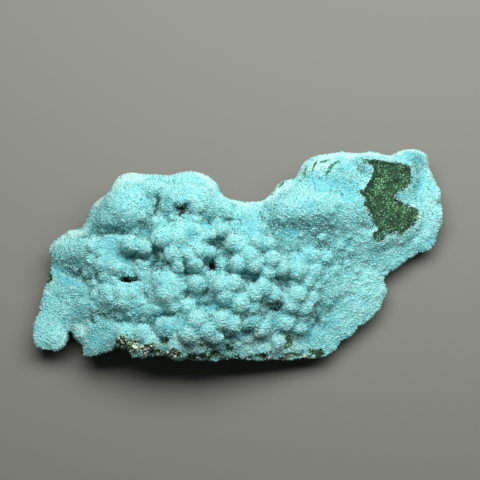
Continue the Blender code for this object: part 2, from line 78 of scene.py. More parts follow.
# After drawing, the right-hand front and the left end fall away towards the table: direction of
# each fall in degrees, where it starts and ends along that direction, and the share of the
# height that is left at its end. What comes down keeps its line to a point above the table.
FALLS = ((-35.0, 4.0, 36.0, 0.38), (190.0, 28.0, 50.0, 0.5))
VIEW_POINT = np.array((0.0, -112.6, 446.7))
SETTLING_TURNS = 5

# Bare malachite: two round bays side by side, like the letter B.
WINDOW_OUTLINE = (
    (30.6, 23), (32.6, 22.9), (34.5, 22.8), (37, 22.5), (39.5, 22.1), (41.2, 21.7), (42.2, 21),
    (42.6, 20), (42.5, 17.9), (42.3, 16.8), (41.5, 15.9), (40.3, 15), (39.2, 13.9), (38, 12.7),
    (39, 12.1), (40.3, 11.4), (41.8, 10.6), (43.2, 10.2), (43.9, 9.2), (43.9, 7.6),
    (43.2, 6.3), (42, 5), (40.8, 3.9), (39.6, 3.1), (37.6, 3.4), (35.9, 3.3), (35.3, 2.1),
    (34.3, 1.4), (33.1, 1.6), (32.5, 2.6), (32.8, 3.5), (33.9, 4), (33.6, 5.2), (33.1, 6),
    (32.4, 6.9), (32.1, 8), (31.6, 9.2), (31.5, 11.3), (30.9, 12.8), (30.2, 13.8), (31, 15.5),
    (32, 17.1), (32.8, 18.5), (33.1, 20), (33.3, 21), (32.5, 21.6), (31.3, 22.1),
)

# Large knobs: x, y, radius, height of the top.
LARGE_KNOBS = (
    (-45.6, -20.6, 2.9, 14.3), (-39, -19.6, 1.9, 14), (-27, 1, 2.25, 20.5),
    (-23.5, 0, 1.75, 20.5), (-13, -2, 1.75, 20.5), (-10, -1, 1.75, 20.5), (-16.5, -1.5, 2, 20.5),
    (-7.5, -1, 1.5, 20), (-11, -4, 1.75, 20), (-15, -4, 1.75, 19.5), (-15.5, 2.5, 2.75, 21.5),
    (-19.5, 2.5, 2.25, 21), (-13, -14, 1.75, 17.5), (-10.5, -9, 2, 19.5),
    (-18, -18.5, 3.25, 16.5), (-28, -21, 2.25, 15.5), (-24, -20.5, 2.25, 16),
    (-22, -22.5, 2, 15.5), (-25, -23.5, 2, 14.5), (-10.5, -18, 2.5, 19.5),
    (-12.5, -21, 2.5, 18.5), (-8, -20.5, 2.25, 19), (-4.5, -18, 2.25, 19.5), (-2, -19, 2.25, 19),
    (-6, -21.5, 2, 18), (-15, -23.5, 2.25, 15.5), (-10, -23.5, 2.25, 15.5),
    (-4.5, -9.5, 2.25, 21), (-1.5, -9, 2, 20.5), (-3.5, -12, 2.25, 20), (0, -13.5, 2.5, 19.5),
    (3, -14.5, 1.75, 19), (-0.5, -4, 2, 20.5), (2.5, -2.5, 2, 21), (3.5, -4.5, 1.75, 20.5),
    (7, 1, 1.75, 20.5), (4.5, 1.5, 1.75, 20.5), (-1.5, 1.5, 2, 20), (0.5, 0, 1.75, 20),
    (8, -3, 2, 21), (10, -5, 2, 20.5), (7, -6, 1.75, 20), (14, -5.5, 2.3, 20),
    (18, -5.5, 2.3, 19.8), (16, -8, 2.2, 19.5), (19, -8, 2, 19), (22.5, -5, 2.4, 18.8),
    (17.5, -1.5, 2, 19.2), (21, -2, 1.8, 18.9), (5.5, -10, 2.25, 20.5), (3.5, -11.5, 2, 20),
    (8, -11.5, 2, 20), (14, -11.5, 2.25, 20.5), (15.5, -14.5, 2.25, 20), (12.5, -14, 2, 19.5),
    (17.5, -12, 2, 19.5), (22.5, -9.5, 2.1, 18.4), (25, -8.5, 2.2, 17.8), (21.5, -12, 2, 18),
    (25, -11.5, 1.8, 17.3), (5, -19.5, 2.25, 17.5), (3, -17.5, 2, 18), (11, -18, 2.25, 18),
    (14.5, -19, 2, 17.5), (15, -16.5, 1.75, 18), (5.5, -23.5, 2, 14.5), (9, -22, 2.25, 15.5),
    (11.5, -23.5, 1.75, 14.5), (48, 15, 2.25, 17.5), (48.3, 9.8, 2.25, 17.3), (46, 5.6, 2.25, 17),
    (43.2, 3.2, 2, 16.5),
)

# The remesh and the smoothing take a little off the large knobs, so they start this much higher,
# but none above the height that the solid's box allows.
KNOB_RISE = 0.5
HIGHEST_KNOB = 21.4

# Places where the crust runs on evenly: x, y, radius x, y, turn in degrees. Their points are
# evened out this many times.
EVEN_SPOTS = ((24, 18.5, 8, 3, 0), (26, 1, 4, 3, 0), (24.5, -10, 5.5, 5, 0))
EVEN_TURNS = 80

# The field of small knobs: middle and half-lengths of an oval. Outside it the crust is calmer.
KNOBBY_MIDDLE = (-8, -6)
KNOBBY_REACH = (36, 20)

# The smallest of a generation of small knobs has this share of the full radius and height.
LEAST_RADIUS = 0.55
LEAST_HEIGHT = 0.5

# Hollows and ledges pressed into the crust: x, y, radius x, y, turn in degrees, depth.
HOLLOWS = (
    (-27.8, -6.8, 2.3, 1.0, 0, 3.2), (-14.0, 9.7, 2.1, 1.4, -15, 1.8),
    (-21.2, -2.2, 0.9, 2.4, 5, 1.1), (-21.0, 10.6, 0.9, 2.6, -20, 1.3),
    (-6.9, -3.6, 1.6, 1.0, -20, 2.6), (-3, -5.6, 1.3, 0.8, -20, 1.2),
    (3.6, -7.8, 0.9, 1.1, -40, 1.7), (8.9, -14.4, 1.2, 0.7, 0, 2.0),
    (-8.6, -10.7, 1.2, 1.1, 0, 1.0), (-13.3, -11, 1.1, 1.1, 0, 1.2),
    (-8.5, -13.4, 2.6, 0.9, 0, 1.1), (-36.3, -16.9, 0.9, 0.8, 0, 1.2),
    (18.3, -17.6, 1.2, 1.8, -30, 0.9), (1.2, -20.2, 1.3, 0.9, 0, 0.8),
    (6.9, -22.1, 1.6, 0.6, 20, 1.0), (13, -8.7, 2.0, 0.6, -20, 1.0),
    (-39.5, -6.2, 4.6, 1.3, -18, 1.2), (-31.2, 4.8, 2.8, 1.0, -5, 1.1),
    (-25.5, -2.2, 3.2, 0.8, -5, 1.1), (-6.5, 1.1, 2.4, 1.0, 0, 1.1), (-2, 7.6, 2.2, 0.7, 0, 0.6),
    (19.2, 0.1, 1.3, 0.8, 0, 0.8), (23.4, -4.2, 1.9, 0.8, 0, 0.6), (31, 5.2, 1.8, 1.6, 0, 0.8),
    (46.4, 8.2, 1.4, 1.0, 0, 0.7), (-13.4, -4.6, 0.8, 1.6, 10, 1.3),
    (-21.5, -9.8, 0.7, 1.8, 15, 1.0), (-28.6, -17, 1.8, 0.8, 0, 0.9),
    (-18, -16, 2.0, 0.7, 0, 1.1), (-3, -21.5, 1.6, 0.6, 0, 0.9), (-11.5, -5.8, 1.2, 0.8, 0, 1.0),
    (24.5, -12.8, 3.8, 0.8, 42, 0.8),
)

# Painted shade: places where the quartz and the crust are painted darker, on the slopes turned away
# from the light and in the grooves: x, y, radius x, y, turn in degrees, strength.
PAINTED_SHADE_SPOTS = (
    (12.5, 4.9, 5.5, 2.2, -5, 1), (19.5, 2.2, 5, 2.0, -20, 1), (30.5, 7.5, 3.0, 3.5, 0, 0.6),
    (-8.5, 1.5, 4, 1.9, 0, 0.9), (-5.5, -2.7, 3.3, 2.0, 0, 1), (-3, -4.7, 2.2, 1.8, 0, 0.7),
    (-29, 6.3, 4, 1.7, -20, 0.55), (-23, 7.5, 2.8, 2.4, 0, 0.8), (-40.5, -2.8, 5.0, 1.6, -20, 1),
    (-24.5, -1.5, 4.5, 1.7, -10, 1), (-21, -3.5, 2, 2.8, 0, 0.9), (-15, 0.5, 4.5, 2.3, 0, 0.6),
    (-22.5, -13.5, 3, 1.8, 0, 0.6), (-9, -9, 2.2, 2.8, 0, 0.8), (3, -7, 1.9, 1.4, 0, 0.9),
    (9, -14, 1.8, 1.1, 0, 1), (20.5, -17.2, 1.4, 3, -30, 0.7), (-20.3, 10, 1.1, 3, 0, 0.9),
    (-14.7, 9.8, 2.6, 1.7, 0, 1), (48, 7.5, 1.7, 3.4, 0, 0.5), (43, 0.5, 4, 1.4, 25, 0.6),
    (-37, -15.5, 1.7, 1.3, 0, 0.8), (-1.5, -17.8, 2.4, 1.4, 0, 0.6),
    (23.5, -6, 2.5, 5, -20, 0.45), (-43, -16.5, 2.5, 1.2, -30, 0.8), (-31, -12.5, 4, 1.5, 0, 0.4),
)

# Places without quartz, where the smooth blue crust shows: x, y, radius x, y, turn in degrees.
BARE_SPOTS = (
    (-41, -7, 4, 2, -10), (-32.5, 1.5, 3, 2, 0), (2.5, 5.8, 3.4, 1.8, 0), (14.5, -2, 2, 1, 0),
    (-8, 6, 2.5, 1, -20), (-22.5, 5, 2, 1, 0), (-7.5, -14.3, 3, 1.5, 0), (-0.5, -21.3, 6, 1, 0),
    (8.5, -18.3, 1, 2, 0), (17.5, -19.3, 1.5, 1, 0), (23.5, -13.3, 3.5, 1, -25),
    (16, -21.8, 2.5, 1.5, 0), (-14, -18.8, 1, 2.5, 0), (22, 17, 4, 2, 0), (-44.5, -18, 1.5, 1, 0),
    (-35.5, 9.2, 1.5, 3, 0), (-17.5, 9.2, 1, 1, 0), (-12, 3.2, 1.5, 1, 0), (27, 15.2, 2.5, 4, 0),
    (44, 17.5, 2.5, 3, 0), (47.5, 3.5, 1.5, 2.5, 0), (-3, -13.8, 1.5, 1, 0), (5, 2.2, 2, 1, 0),
    (-34, -21.3, 4, 3, 0), (-17.5, -19.8, 2, 2, 0), (-45.5, -4, 1.2, 2.5, 0),
    (-28.5, -2.3, 3, 1, -10), (43, 24.6, 4.4, 2.2, 4), (12, 4.2, 3, 1.2, 0),
)

# Malachite coming through the crust at the left end, along the malachite patch, in the pale
# back edge and along the broken front: x, y, radius x, y, turn in degrees.
GREEN_SPOTS = (
    (-47.7, -5.5, 1.2, 2.2, 0), (30.5, 14.2, 0.8, 1, 0), (31.2, 10.7, 0.8, 1, 0),
    (34.3, 2.6, 1.8, 1.5, 0), (13.2, 22.6, 0.7, 1.4, -15), (-11.6, -25.7, 1.5, 0.6, 0),
    (-6.2, -25.2, 2.3, 0.8, 0), (-2.9, -23.9, 0.8, 0.9, 0), (5.4, -25.6, 1.6, 0.8, 0),
    (11.7, -22.6, 0.9, 1.6, 0), (18.8, -24.9, 1.8, 0.9, 0), (-18.4, -22.2, 0.9, 0.5, 0),
)

# Whitish broken matrix with dark gaps along the front: x, y, radius x, y, turn in degrees.
MATRIX_SPOTS = (
    (-27.8, -23.0, 2.8, 1.7, -10), (-22.5, -24.4, 3.4, 1.2, 0), (-17, -25.3, 3, 0.7, 0),
    (-9.5, -25.9, 2, 0.4, 0), (-3.5, -26.2, 3, 0.4, 0), (1.5, -26.2, 3, 0.4, 0),
    (9, -26.2, 3, 0.5, 0), (15, -25.6, 4, 0.5, 0), (-8.8, -23.9, 0.9, 0.8, 0),
)

# Whitish places along the back, beside the malachite, on the lower right edge, on the right and
# along the front, partly whitish crust and partly painted light: x, y, radius x, y, turn in
# degrees, strength.
PALE_SPOTS = (
    (-26.5, 19.4, 3.6, 1.4, 0, 0.8), (-36, 13.2, 1, 1.2, 0, 0.8), (-47, 1.5, 1.2, 1.5, 0, 0.7),
    (19, 22.4, 4.6, 2.4, 0, 0.9), (12, 18, 1.6, 1.5, 40, 0.8), (3.5, 11.2, 3.0, 1.0, 0, 0.5),
    (38, 2.2, 1.4, 1.2, 0, 0.5), (27.4, 19.6, 2.5, 1, 0, 0.6), (49.6, 12, 1.0, 4, 0, 0.6),
    (41, 26.2, 4, 0.9, 8, 0.9), (31, -14.5, 4.5, 1.0, 35, 0.6), (25, -18.2, 2, 0.9, 50, 0.5),
    (-32.5, -21, 4.5, 3.2, 0, 0.45), (-38.9, -19.8, 1.8, 1.8, 0, 0.8),
    (-27.5, 20.4, 4.2, 1.6, 0, 1.1), (47.5, 8, 4, 10, 0, 0.5), (31, -9, 11, 7, 30, 0.5),
    (-43.5, -19, 5, 5, 0, 0.5), (24, 26.2, 9, 1.3, 0, 0.9), (-13, -23, 7, 3, 0, 0.6),
    (6, -23, 12, 3.4, 0, 0.6),
)

# Edge of the specimen on the side that the light comes from, from left to right; the whitish rim
# along it is painted light from behind.
BACK_RUN = (
    (-47.5, 1.8), (-44, 5.3), (-40, 6.2), (-37.7, 10), (-36, 13.6), (-32, 17), (-31, 19.8),
    (-27.4, 21.6), (-18, 20.6), (-12.5, 21.8), (-7.5, 20), (-5.7, 16.5), (-4, 14.8), (2, 13.7),
    (6.5, 14.3), (11, 19.3), (15, 21), (17.5, 25), (26, 27), (33, 27), (38, 26), (43, 27.6),
    (47.2, 26), (48.6, 21.5), (50.8, 16.5), (51.4, 10), (50.4, 7),
)

# Broken front side: x, and the height up to which the rock and malachite show there.
FRONT_LIPS = (
    (-32, 7), (-31, 13), (-25, 13), (-23, 9.5), (-16.5, 8.5), (-14, 9.5), (-10, 9.5),
    (-8.5, 10), (-3.5, 10.5), (-1.5, 8), (3, 8), (4, 10.5), (8, 10.5), (9.5, 7.5), (16, 7.5),
    (17.5, 11), (21, 10.5), (23, 7),
)
# The broken side reaches back from the front edge as far as this y.
FRONT_BACK_Y = -18.5

# Sprays of malachite needles in the pale back edge: x, y, direction in degrees, length.
SPRAYS = (
    (16.4, 20.6, 75, 2.2), (18.6, 22.1, 70, 2.2), (22.2, 20.6, 55, 2.4), (23.6, 22.2, 35, 2.6),
    (21, 23.2, 20, 1.8), (10.6, 18.2, 50, 2), (13.6, 19.8, 70, 1.2),
)
SPRAY_NEEDLES = 16
# Height of the crust there, in millimetres.
BACK_EDGE_HEIGHT = 17.0

# The surroundings that a place is measured against, some 2 mm and some 4.5 mm round it: how often
# the surface is evened out for them, their weight, and the depth in millimetres that counts in
# full.
SURROUNDINGS = ((30, 0.65, 0.5), (130, 0.25, 0.7))

# No quartz grows under this height in millimetres, so that the underside stays clear.
LOWEST_QUARTZ = 0.7

# Lumps to the metre in the crust's patterns: clouds of tint 4 mm across, chips 1.1 mm across and
# grains 0.4 mm across.
CLOUDS = 250.0
CHIPS = 900.0
GRAINS = 2400.0

# The Mix node's inputs for the share and the two colours, and its output for a colour.
MIX_INPUTS = (0, 6, 7)
MIX_COLOUR = 2

# Random tries for each cell that a crystal may take, so that nearly every one is filled, and a
# number larger than the count of cells along the specimen, which gives each cell its own key.
TRIES = 5
CELL_STRIDE = 4099

# A cell of space and the cells that touch it.
CELLS_AROUND = tuple(itertools.product((-1, 0, 1), repeat=3))


def millimetres(name, description, default):
    """A length setting, shown in the scene's own unit."""
    return bpy.props.FloatProperty(
        name=name, description=description, default=default * MM, unit="LENGTH", precision=5
    )


def colour(name, description, hex_code):
    """A colour setting from an sRGB hex code."""
    return bpy.props.FloatVectorProperty(
        name=name, description=description, default=linear(hex_code), size=4,
        subtype="COLOR", min=0.0, max=1.0,
    )


def linear(hex_code):
    """Linear RGBA from an sRGB hex code."""
    channels = []
    for start in (1, 3, 5):
        value = int(hex_code[start:start + 2], 16) / 255
        channels.append(value / 12.92 if value <= 0.04045 else ((value + 0.055) / 1.055) ** 2.4)
    return (*channels, 1.0)


class CrustSettings(bpy.types.PropertyGroup):
    """Sizes and colours of the crust."""

    facet: millimetres("Facet", "Edge length of the crust's surface facets", 0.45)
    skin: millimetres("Skin", "How far the bare crust lies under the tips of its quartz", 0.4)
    knob_spacing: millimetres("Knob spacing", "Distance between small knobs", 3.0)
    knob_radius: millimetres("Knob radius", "Largest radius of a small knob", 2.3)
    knob_height: millimetres("Knob height", "How far a small knob stands out", 1.0)
    wart_spacing: millimetres("Wart spacing", "Distance between the finest knobs", 1.3)
    wart_radius: millimetres("Wart radius", "Largest radius of the finest knobs", 1.0)
    wart_height: millimetres("Wart height", "How far the finest knobs stand out", 0.2)
    blue: colour("Blue", "Chrysocolla in the open", "#97E3E3")
    deep_blue: colour("Deep blue", "Cloudy patches in the open chrysocolla", "#62C8D0")
    # Painted shade: the crust takes this darker blue in its hollows.
    hollow: colour("Hollow", "Chrysocolla in hollows", "#60A3A6")
    waxy: colour("Waxy", "Bare chrysocolla without quartz", "#78CDD2")
    deep_waxy: colour("Deep waxy", "Darker patches of the bare chrysocolla", "#4FB4BE")
    # Pale is whitish crust, and along the back rim and in the pale spots partly painted light.
    pale: colour("Pale", "Whitish broken rim", "#D4F5EA")
    rock: colour("Rock", "Broken rock side", "#4A423A")


class MalachiteSettings(bpy.types.PropertyGroup):
    """Sizes and colours of the malachite."""

    needle: millimetres("Needle", "Height of a malachite needle", 0.6)
    spacing: millimetres("Spacing", "Distance between needles", 0.33)
    # Dark and light are painted shade and painted glints on the malachite needles.
    dark: colour("Dark", "Malachite in its own shade", "#0C2F19")
    green: colour("Green", "Malachite", "#2E8550")
    light: colour("Light", "Needles that catch the light", "#97D5A6")


class DruseSettings(bpy.types.PropertyGroup):
    """Sizes of the quartz points."""

    spacing: millimetres("Spacing", "Distance between quartz points", 0.4)
    width: millimetres("Width", "Width of a quartz point", 0.46)
    height: millimetres("Height", "Height of a quartz point", 0.6)


class StageSettings(bpy.types.PropertyGroup):
    """Floor, light and camera."""

    floor: colour("Floor", "Plain grey table", "#7A7B73")
    key_watts: bpy.props.FloatProperty(
        name="Key light", description="Power of the soft light above", default=1.8, min=0.0,
        unit="POWER",
    )
    room_light: bpy.props.FloatProperty(
        name="Room light", description="Strength of the even light all round", default=0.045,
        min=0.0,
    )


SETTINGS = {
    "specimen_crust": CrustSettings,
    "specimen_malachite": MalachiteSettings,
    "specimen_druse": DruseSettings,
    "specimen_stage": StageSettings,
}


# Working with objects


def select_nothing():
    """Leave nothing selected, so that a new primitive stands alone."""
    bpy.ops.object.select_all(action="DESELECT")


def select_only(item):
    """Select this object alone and make it active."""
    select_nothing()
    item.select_set(True)
    bpy.context.view_layer.objects.active = item


def apply_modifier(item, kind, **values):
    """Add a modifier with its settings and apply it."""
    modifier = item.modifiers.new(kind.lower(), kind)
    for key, value in values.items():
        setattr(modifier, key, value)
    select_only(item)
    bpy.ops.object.modifier_apply(modifier=modifier.name)


def copy_of_node(name):
    """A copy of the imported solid, with its loose triangles merged."""
    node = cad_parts[NODE]
    item = bpy.data.objects.new(name, node.data.copy())
    item.data.name = name
    bpy.context.scene.collection.objects.link(item)
    select_only(item)
    bpy.ops.object.mode_set(mode="EDIT")
    bpy.ops.mesh.select_all(action="SELECT")
    bpy.ops.mesh.remove_doubles(threshold=0.001 * MM)
    bpy.ops.object.mode_set(mode="OBJECT")
    return item


def mesh_from_arrays(name, points, triangles):
    """A named object from arrays of points and triangles."""
    mesh = bpy.data.meshes.new(name)
    mesh.vertices.add(len(points))
    mesh.vertices.foreach_set("co", points.astype(np.float32).ravel())
    mesh.loops.add(triangles.size)
    mesh.loops.foreach_set("vertex_index", triangles.astype(np.int32).ravel())
    mesh.polygons.add(len(triangles))
    mesh.polygons.foreach_set("loop_start", np.arange(0, triangles.size, 3, dtype=np.int32))
    mesh.update(calc_edges=True)
    mesh.validate()
    item = bpy.data.objects.new(name, mesh)
    bpy.context.scene.collection.objects.link(item)
    return item


def finish_piece(item, material, stands_for_node=False):
    """Give the piece its material and tie it to the specimen's body."""
    item.data.materials.clear()
    item.data.materials.append(material)
    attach(item, "root")
    if stands_for_node:
        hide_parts(NODE)


# Reading the surface


def points_of(mesh):
    """Positions of the mesh's points, in metres."""
    values = np.empty(len(mesh.vertices) * 3)
    mesh.vertices.foreach_get("co", values)
    return values.reshape(-1, 3)


def normals_of(mesh):
    """Outward directions at the mesh's points."""
    values = np.empty(len(mesh.vertices) * 3)
    mesh.vertex_normals.foreach_get("vector", values)
    return values.reshape(-1, 3)


def triangles_of(mesh):
    """Point numbers of the mesh's triangles."""
    mesh.calc_loop_triangles()
    values = np.empty(len(mesh.loop_triangles) * 3, dtype=np.int32)
    mesh.loop_triangles.foreach_get("vertices", values)
    return values.reshape(-1, 3)


def move_points(mesh, points):
    """Put the mesh's points in their new places."""
    mesh.vertices.foreach_set("co", points.ravel())
    mesh.update()


def write_share(mesh, name, values):
    """Keep a value for each point, for the materials and the later pieces."""
    layer = mesh.attributes.get(name) or mesh.attributes.new(name, "FLOAT", "POINT")
    layer.data.foreach_set("value", values.astype(np.float32))


def read_share(mesh, name):
    """The values kept under this name."""
    values = np.empty(len(mesh.vertices), dtype=np.float32)
    mesh.attributes[name].data.foreach_get("value", values)
    return values.astype(float)


def ramp(values, low, high):
    """0 below low, 1 above high, smooth between; low may be the larger one."""
    share = np.clip((values - low) / (high - low), 0.0, 1.0)
    return share * share * (3 - 2 * share)


def wander(points, size, seed):
    """Soft noise between about -1 and 1, with lumps of this size in metres."""
    shift = Vector((seed * 17.3, seed * 5.1, seed * 9.7))
    return np.array([noise.noise(Vector(point) / size + shift) for point in points]) * 1.6


def dots(first, second):
    """The product of each direction of one list with the same one of the other."""
    return np.einsum("ij,ij->i", first, second)


def tree_of(points):
    """The points, sorted for finding the near ones."""
    tree = kdtree.KDTree(len(points))
    for number, point in enumerate(points):
        tree.insert(point, number)
    tree.balance()
    return tree


def height_left(x, y):
    """Share of the height that is left at this place on the plan."""
    height = 1.0
    for direction, start, end, left in FALLS:
        angle = math.radians(direction)
        along = x * math.cos(angle) + y * math.sin(angle)
        height = height * (1.0 - (1.0 - left) * ramp(along, start, end))
    return height


def on_plan(points):
    """The points' places on the plan, in millimetres and at full height. The place and the height
    that is left there depend on one another, so they are settled in a few turns."""
    fallen = points / MM - PLAN_SHIFT
    place = fallen
    for _ in range(SETTLING_TURNS):
        height = fallen[:, 2] / height_left(place[:, 0], place[:, 1])
        reach = (VIEW_POINT[2] - height) / (VIEW_POINT[2] - fallen[:, 2])
        place = VIEW_POINT + (fallen - VIEW_POINT) * reach[:, None]
    return place


def in_frame(x, y, z):
    """A place on the plan as a point of the scene."""
    lowered = z * height_left(x, y)
    reach = (VIEW_POINT[2] - lowered) / (VIEW_POINT[2] - z)
    return Vector((VIEW_POINT + (np.array((x, y, z)) - VIEW_POINT) * reach + PLAN_SHIFT) * MM)


def run_distance(place, run):
    """Distance of places on the plan to a run of straight steps."""
    nearest = np.full(len(place), np.inf)
    for start, end in zip(run, run[1:]):
        first = np.array(start, dtype=float)
        step = np.array(end, dtype=float) - first
        part = np.clip((place[:, :2] - first) @ step / (step @ step), 0.0, 1.0)
        gap = np.linalg.norm(place[:, :2] - first - part[:, None] * step, axis=1)
        nearest = np.minimum(nearest, gap)
    return nearest


def window_distance(place):
    """Distance of places on the plan to the border of the bare malachite."""
    return run_distance(place, WINDOW_OUTLINE + WINDOW_OUTLINE[:1])


def spot_share(place, spot, edge):
    """1 inside an oval spot on the plan, 0 outside, with an edge this soft."""
    x, y, rx, ry, turn = spot[:5]
    angle = math.radians(turn)
    dx = place[:, 0] - x
    dy = place[:, 1] - y
    along = (dx * math.cos(angle) + dy * math.sin(angle)) / rx
    across = (dy * math.cos(angle) - dx * math.sin(angle)) / ry
    return ramp(np.hypot(along, across), 1 + edge, 1 - edge)


def spots_share(place, spots, edge):
    """The same for all the spots of a list, each times its strength or depth if it has one."""
    return np.maximum.reduce(
        [spot_share(place, spot, edge) * (spot[5] if len(spot) > 5 else 1.0) for spot in spots]
    )


def inside_outline(place, outline):
    """Whether each place on the plan lies inside the outline."""
    x, y = place[:, 0], place[:, 1]
    inside = np.zeros(len(place), dtype=bool)
    for (x0, y0), (x1, y1) in zip(outline, outline[1:] + outline[:1]):
        if y0 == y1:
            continue
        crosses = (y0 > y) != (y1 > y)
        inside ^= crosses & (x < (x1 - x0) * (y - y0) / (y1 - y0) + x0)
    return inside


def evened(points, triangles, turns):
    """The points after each has moved to the mean of its neighbours this many times."""
    edges = np.concatenate([triangles[:, (0, 1)], triangles[:, (1, 2)], triangles[:, (2, 0)]])
    first = np.concatenate([edges[:, 0], edges[:, 1]])
    second = np.concatenate([edges[:, 1], edges[:, 0]])
    count = np.maximum(np.bincount(first, minlength=len(points)), 1)
    moved = points.copy()
    for _ in range(turns):
        for axis in range(3):
            total = np.bincount(first, weights=moved[second, axis], minlength=len(points))
            moved[:, axis] = 0.5 * moved[:, axis] + 0.5 * total / count
    return moved


# Growing small knobs


def crowded(point, key, taken, points, spacing):
    """Whether a point taken before, in the same cell or beside it, is nearer than the spacing."""
    for step in CELLS_AROUND:
        cell = (key[0] + step[0], key[1] + step[1], key[2] + step[2])
        for other in taken.get(cell, ()):
            gap = point - points[other]
            if gap @ gap < spacing * spacing:
                return True
    return False


def spaced_seeds(points, allowed, spacing, rng):
    """Point numbers spread over the allowed places, no two nearer than the spacing."""
    taken = {}
    chosen = []
    for number in rng.permutation(np.flatnonzero(allowed)):
        point = points[number]
        key = tuple((point // spacing).astype(int))
        if not crowded(point, key, taken, points, spacing):
            taken.setdefault(key, []).append(number)
            chosen.append(number)
    return np.array(chosen)


def raise_balls(points, normals, centres, radii):
    """How far each point moves out along its normal to lie on the outermost ball."""
    tree = tree_of(points)
    rise = np.zeros(len(points))
    for centre, radius in zip(centres, radii):
        found = [number for _, number, _ in tree.find_range(centre, radius)]
        if not found:
            continue
        offset = centre - points[found]
        along = dots(offset, normals[found])
        beside = dots(offset, offset) - along * along
        reach = along + np.sqrt(np.maximum(radius * radius - beside, 0.0))
        rise[found] = np.maximum(rise[found], np.where(beside < radius * radius, reach, 0.0))
    return rise


def grow_knobs(points, normals, allowed, size, spacing, radius, height, rng):
    """Rise of the surface under one generation of round knobs."""
    seeds = spaced_seeds(points, allowed, spacing, rng)
    radii = radius * rng.uniform(LEAST_RADIUS, 1.0, len(seeds)) * size[seeds]
    heights = height * rng.uniform(LEAST_HEIGHT, 1.0, len(seeds)) * size[seeds]
    heights = np.minimum(heights, radii)
    centres = points[seeds] + normals[seeds] * (heights - radii)[:, None]
    return raise_balls(points, normals, centres, radii)


# Scattering crystals


class Surface:
    """The finished crust as arrays, for the pieces that grow on it."""

    def __init__(self, mesh):
        self.mesh = mesh
        self.points = points_of(mesh)
        self.normals = normals_of(mesh)
        self.triangles = triangles_of(mesh)

    def share(self, name):
        """The values kept under this name, one for each point."""
        return read_share(self.mesh, name)

    def scatter(self, weights, spacing, rng, extra=None):
        """Even places on the surface, with their outward directions and extra values: random
        places, of which only the first in each cell of space stays."""
        corners = self.points[self.triangles]
        across = np.cross(corners[:, 1] - corners[:, 0], corners[:, 2] - corners[:, 0])
        chance = 0.5 * np.linalg.norm(across, axis=1) * weights[self.triangles].mean(axis=1)
        count = int(TRIES * chance.sum() / (spacing * spacing))
        picked = rng.choice(len(self.triangles), size=count, p=chance / chance.sum())
        mix = rng.random((count, 2))
        over = mix.sum(axis=1) > 1
        mix[over] = 1 - mix[over]
        parts = np.column_stack([1 - mix.sum(axis=1), mix])
        places = np.einsum("ij,ijk->ik", parts, corners[picked])
        cells = np.floor(places / spacing).astype(np.int64)
        keys = (cells[:, 0] * CELL_STRIDE + cells[:, 1]) * CELL_STRIDE + cells[:, 2]
        _, first = np.unique(keys, return_index=True)
        first.sort()
        picked, parts, places = picked[first], parts[first], places[first]
        ups = np.einsum("ij,ijk->ik", parts, self.normals[self.triangles[picked]])
        values = None
        if extra is not None:
            values = np.einsum("ij,ijk->ik", parts, extra[self.triangles[picked]])
        return places, ups, values


def crystal_shape(sides):
    """Points and triangles of one upright crystal, 1 wide and 1 high, from a cone primitive."""
    select_nothing()
    bpy.ops.mesh.primitive_cone_add(vertices=sides, radius1=0.5, radius2=0.0, depth=1.0)
    item = bpy.context.object
    shape = points_of(item.data)
    shape[:, 2] += 0.5
    triangles = triangles_of(item.data).copy()
    bpy.data.objects.remove(item)
    return shape, triangles


def crystals(name, shape, places, ups, widths, heights, lean, sink, rng):
    """One mesh of many crystals, each turned and leaning its own way."""
    form, faces = shape
    up = ups + lean * rng.normal(size=ups.shape)
    up /= np.linalg.norm(up, axis=1)[:, None]
    side = np.cross(up, rng.normal(size=up.shape))
    side /= np.linalg.norm(side, axis=1)[:, None]
    third = np.cross(up, side)
    base = places - up * (heights * sink)[:, None]
    points = (
        base[:, None, :]
        + form[None, :, 0, None] * (side * widths[:, None])[:, None, :]
        + form[None, :, 1, None] * (third * widths[:, None])[:, None, :]
        + form[None, :, 2, None] * (up * heights[:, None])[:, None, :]
    )
    triangles = faces[None] + (np.arange(len(places)) * len(form))[:, None, None]
    return mesh_from_arrays(name, points.reshape(-1, 3), triangles.reshape(-1, 3))


# Materials


def new_material(name):
    """A material with its node tree and shader."""
    material = bpy.data.materials.new(name)
    material.use_nodes = True
    return material, material.node_tree, material.node_tree.nodes["Principled BSDF"]


def add_node(tree, kind, settings=None, values=None, links=None):
    """Add one node, set its options and input values, and link its inputs."""
    node = tree.nodes.new(kind)
    for key, value in (settings or {}).items():
        setattr(node, key, value)
    for key, value in (values or {}).items():
        node.inputs[key].default_value = value
    for key, source in (links or {}).items():
        tree.links.new(source, node.inputs[key])
    return node


def mixed(tree, share, first, second):
    """Blend two colours; each may be a colour or the output of a node."""
    node = add_node(tree, "ShaderNodeMix", {"data_type": "RGBA"})
    for number, source in zip(MIX_INPUTS, (share, first, second)):
        if isinstance(source, bpy.types.NodeSocket):
            tree.links.new(source, node.inputs[number])
        else:
            node.inputs[number].default_value = source
    return node.outputs[MIX_COLOUR]


def stepped(tree, source, low, high):
    """Turn a value into a share: 0 at low, 1 at high."""
    node = add_node(
        tree, "ShaderNodeMapRange", {"interpolation_type": "SMOOTHSTEP"},
        {"From Min": low, "From Max": high}, {"Value": source},
    )
    return node.outputs["Result"]


def noise_of(tree, place, scale):
    """Even noise with this many lumps to the metre."""
    values = {"Scale": scale, "Detail": 3.0, "Roughness": 0.55}
    return add_node(tree, "ShaderNodeTexNoise", None, values, {"Vector": place}).outputs["Fac"]


